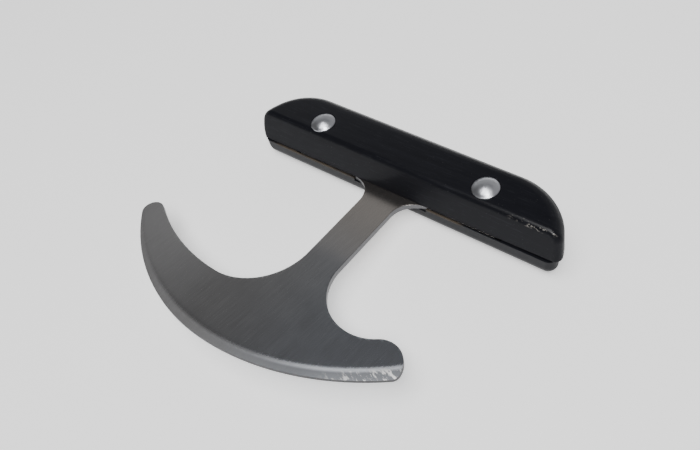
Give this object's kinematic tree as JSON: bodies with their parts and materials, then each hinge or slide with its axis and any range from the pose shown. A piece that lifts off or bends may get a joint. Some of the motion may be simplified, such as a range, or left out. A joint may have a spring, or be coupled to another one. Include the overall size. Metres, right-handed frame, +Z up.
{
  "type": "hive tool",
  "caption": "T-handled steel hive tool with a crescent scraping blade, a long and a short horn, riveted between two black lacquered wooden scales.",
  "frame": {"origin": "on the flat underside of the handle, halfway between the two rivets", "axes": "+X along the handle toward the short horn's side, -Y from the handle toward the crescent edge, +Z up through the rivets toward their domed heads"},
  "size_m": [0.142, 0.1027, 0.0221],
  "materials": {
    "plate_steel": "satin, belt-ground, with a brighter ground bevel along the outer edge",
    "lacquered_wood": "black lacquer over fine-grained wood, semi-gloss",
    "rivet_aluminium": "satin, lightly burnished domes"
  },
  "bodies": {
    "root": {"blade": "plate_steel", "upper_scale": "lacquered_wood", "lower_scale": "lacquered_wood", "left_rivet": "rivet_aluminium", "right_rivet": "rivet_aluminium", "left_burr": "rivet_aluminium", "right_burr": "rivet_aluminium"}
  },
  "joints": []
}
